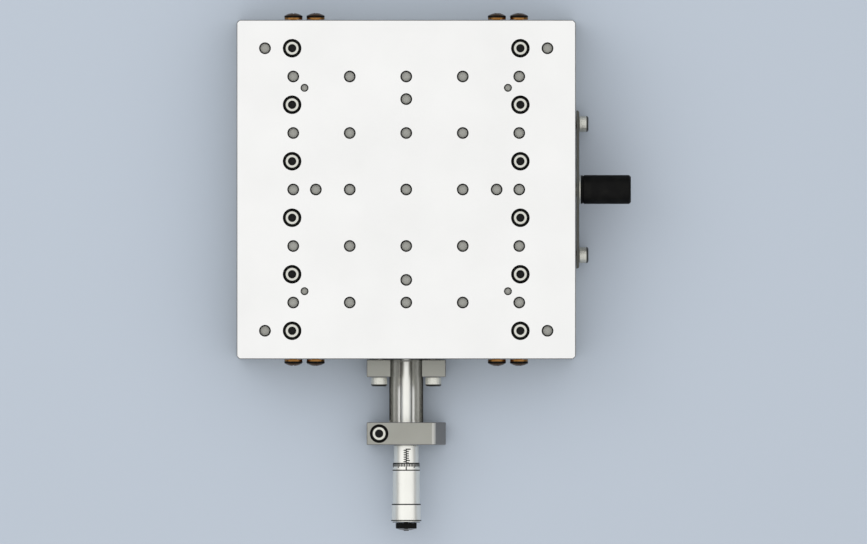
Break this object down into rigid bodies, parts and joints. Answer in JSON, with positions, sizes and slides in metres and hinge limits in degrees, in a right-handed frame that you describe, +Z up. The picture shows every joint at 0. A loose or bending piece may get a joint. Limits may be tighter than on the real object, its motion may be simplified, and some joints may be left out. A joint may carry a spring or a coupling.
{
  "type": "linear adjustment stage",
  "caption": "Flat single-axis linear stage on crossed-roller guideways, driven by a micrometer head and locked by a knurled knob at its side.",
  "frame": {"origin": "centre of the base's flat bottom face", "axes": "+Z up out of the table top, Y along the travel with the micrometer head toward -Y, +X toward the lock knob"},
  "size_m": [0.1744, 0.2291, 0.035],
  "materials": {
    "white_finish": "white satin anodised plate",
    "grey_metal": "warm grey satin, milled",
    "rail_steel": "ground and hardened steel",
    "stainless": "light stainless steel",
    "spring_steel": "drawn spring wire",
    "bronze": "bronze-coloured plating, polished",
    "dark_steel": "blackened steel",
    "chrome": "satin chrome with engraved black scales",
    "black_oxide": "black, finely knurled",
    "dark_plate": "dark olive grey, satin"
  },
  "bodies": {
    "base": {"base": "grey_metal", "base_rail_left": "rail_steel", "base_rail_right": "rail_steel", "base_end_screw_front_left": "bronze", "base_end_screw_front_right": "bronze", "base_end_screw_back_left": "bronze", "base_end_screw_back_right": "bronze", "micrometer_bracket": "grey_metal", "bracket_screw_left": "stainless", "bracket_screw_right": "stainless", "clamp_screw": "stainless", "micrometer_barrel": "chrome", "scale_sleeve": "chrome", "adjusting_nut": "dark_steel", "lock_plate": "dark_plate", "lock_plate_screw_front": "stainless", "lock_plate_screw_back": "stainless", "return_spring_left": "spring_steel", "return_spring_right": "spring_steel"},
    "table": {"table_top": "white_finish", "table_rail_left": "rail_steel", "table_rail_right": "rail_steel", "table_rail_screw_left_1": "stainless", "table_rail_screw_left_2": "stainless", "table_rail_screw_left_3": "stainless", "table_rail_screw_left_4": "stainless", "table_rail_screw_left_5": "stainless", "table_rail_screw_left_6": "stainless", "table_rail_screw_right_1": "stainless", "table_rail_screw_right_2": "stainless", "table_rail_screw_right_3": "stainless", "table_rail_screw_right_4": "stainless", "table_rail_screw_right_5": "stainless", "table_rail_screw_right_6": "stainless", "table_end_screw_front_left": "bronze", "table_end_screw_front_right": "bronze", "table_end_screw_back_left": "bronze", "table_end_screw_back_right": "bronze", "preload_screw_1": "dark_steel", "preload_screw_2": "dark_steel", "preload_screw_3": "dark_steel", "preload_screw_4": "dark_steel", "preload_screw_5": "dark_steel", "preload_screw_6": "dark_steel", "contact_block": "grey_metal", "contact_pin": "rail_steel", "contact_block_screw_1": "stainless", "contact_block_screw_2": "stainless", "lock_stud": "stainless"},
    "left_cage": {"roller_cage_left": "rail_steel"},
    "right_cage": {"roller_cage_right": "rail_steel"},
    "spindle": {"spindle": "chrome", "ratchet_screw": "dark_steel"},
    "thimble": {"thimble": "chrome"},
    "ratchet": {"ratchet_stop": "black_oxide"},
    "lock_washer": {"lock_washer": "stainless"},
    "lock_knob": {"lock_knob": "black_oxide"}
  },
  "joints": [
    {"name": "table_slide", "type": "slide", "parent": "base", "child": "table", "axis": [0, 1, 0], "range_m": [-0.0065, 0.0065], "deforming": ["return_spring_left", "return_spring_right"]},
    {"name": "left_cage_slide", "type": "slide", "parent": "base", "child": "left_cage", "axis": [0, 1, 0], "range_m": [-0.0033, 0.0033]},
    {"name": "right_cage_slide", "type": "slide", "parent": "base", "child": "right_cage", "axis": [0, 1, 0], "range_m": [-0.0033, 0.0033]},
    {"name": "spindle_slide", "type": "slide", "parent": "base", "child": "spindle", "axis": [0, 1, 0], "range_m": [-0.0066, 0.0066]},
    {"name": "thimble_turn", "type": "hinge", "parent": "spindle", "child": "thimble", "pos_m": [0, -0.13, 0.012], "axis": [0, 1, 0], "range_deg": [-4700, 4700]},
    {"name": "ratchet_turn", "type": "hinge", "parent": "thimble", "child": "ratchet", "pos_m": [0, -0.149, 0.012], "axis": [0, 1, 0], "continuous": true},
    {"name": "lock_release", "type": "slide", "parent": "table", "child": "lock_washer", "axis": [1, 0, 0], "range_m": [0, 0.001]},
    {"name": "lock_knob_turn", "type": "hinge", "parent": "lock_washer", "child": "lock_knob", "pos_m": [0.088, 0, 0.024], "axis": [1, 0, 0], "range_deg": [-1, 361]}
  ],
  "couplings": [
    {"joint": "left_cage_slide", "follows": "table_slide", "ratio": 0.5},
    {"joint": "right_cage_slide", "follows": "table_slide", "ratio": 0.5},
    {"joint": "spindle_slide", "follows": "table_slide", "ratio": 1},
    {"joint": "thimble_turn", "follows": "table_slide", "rad_per_m": 12566},
    {"joint": "lock_knob_turn", "follows": "lock_release", "rad_per_m": 6283.2}
  ]
}
